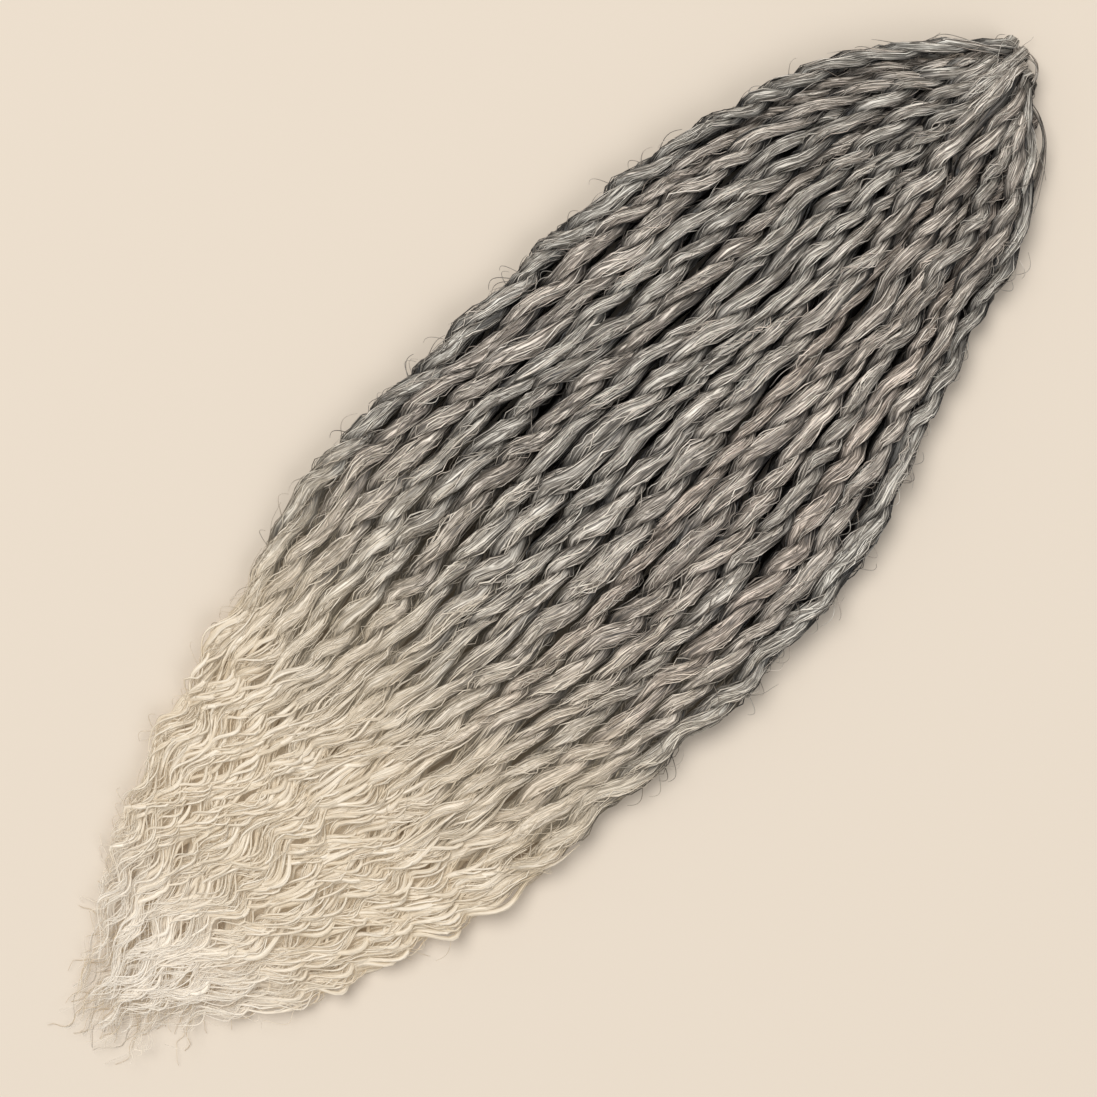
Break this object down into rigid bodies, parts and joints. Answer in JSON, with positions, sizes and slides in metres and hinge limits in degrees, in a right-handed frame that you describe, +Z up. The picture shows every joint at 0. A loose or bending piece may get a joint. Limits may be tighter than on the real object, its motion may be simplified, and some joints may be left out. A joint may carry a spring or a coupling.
{
  "type": "braiding hair extension",
  "caption": "Flat spindle-shaped bundle of long two-ply twisted hair strands, each folded in half at the head and curled at the tips, grey fading to pale blonde.",
  "frame": {"origin": "on the surface that the bundle lies on, under the middle of its box", "axes": "+X along the hair from the curled tips to the folded head, +Y across the bundle, +Z up"},
  "size_m": [0.6092, 0.2204, 0.0252],
  "materials": {
    "hair": "satin synthetic hair fibre, taupe grey from the folds to two thirds of its length, then fading to a pale cream blonde at the tips",
    "thread": "matt dark spun thread"
  },
  "bodies": {
    "root": {"folded_strand_01": "hair", "folded_strand_02": "hair", "folded_strand_03": "hair", "folded_strand_04": "hair", "folded_strand_05": "hair", "folded_strand_06": "hair", "folded_strand_07": "hair", "folded_strand_08": "hair", "folded_strand_09": "hair", "folded_strand_10": "hair", "folded_strand_11": "hair", "folded_strand_12": "hair", "folded_strand_13": "hair", "folded_strand_14": "hair", "folded_strand_15": "hair", "folded_strand_16": "hair", "folded_strand_17": "hair", "folded_strand_18": "hair", "tie_thread": "thread"}
  },
  "joints": []
}
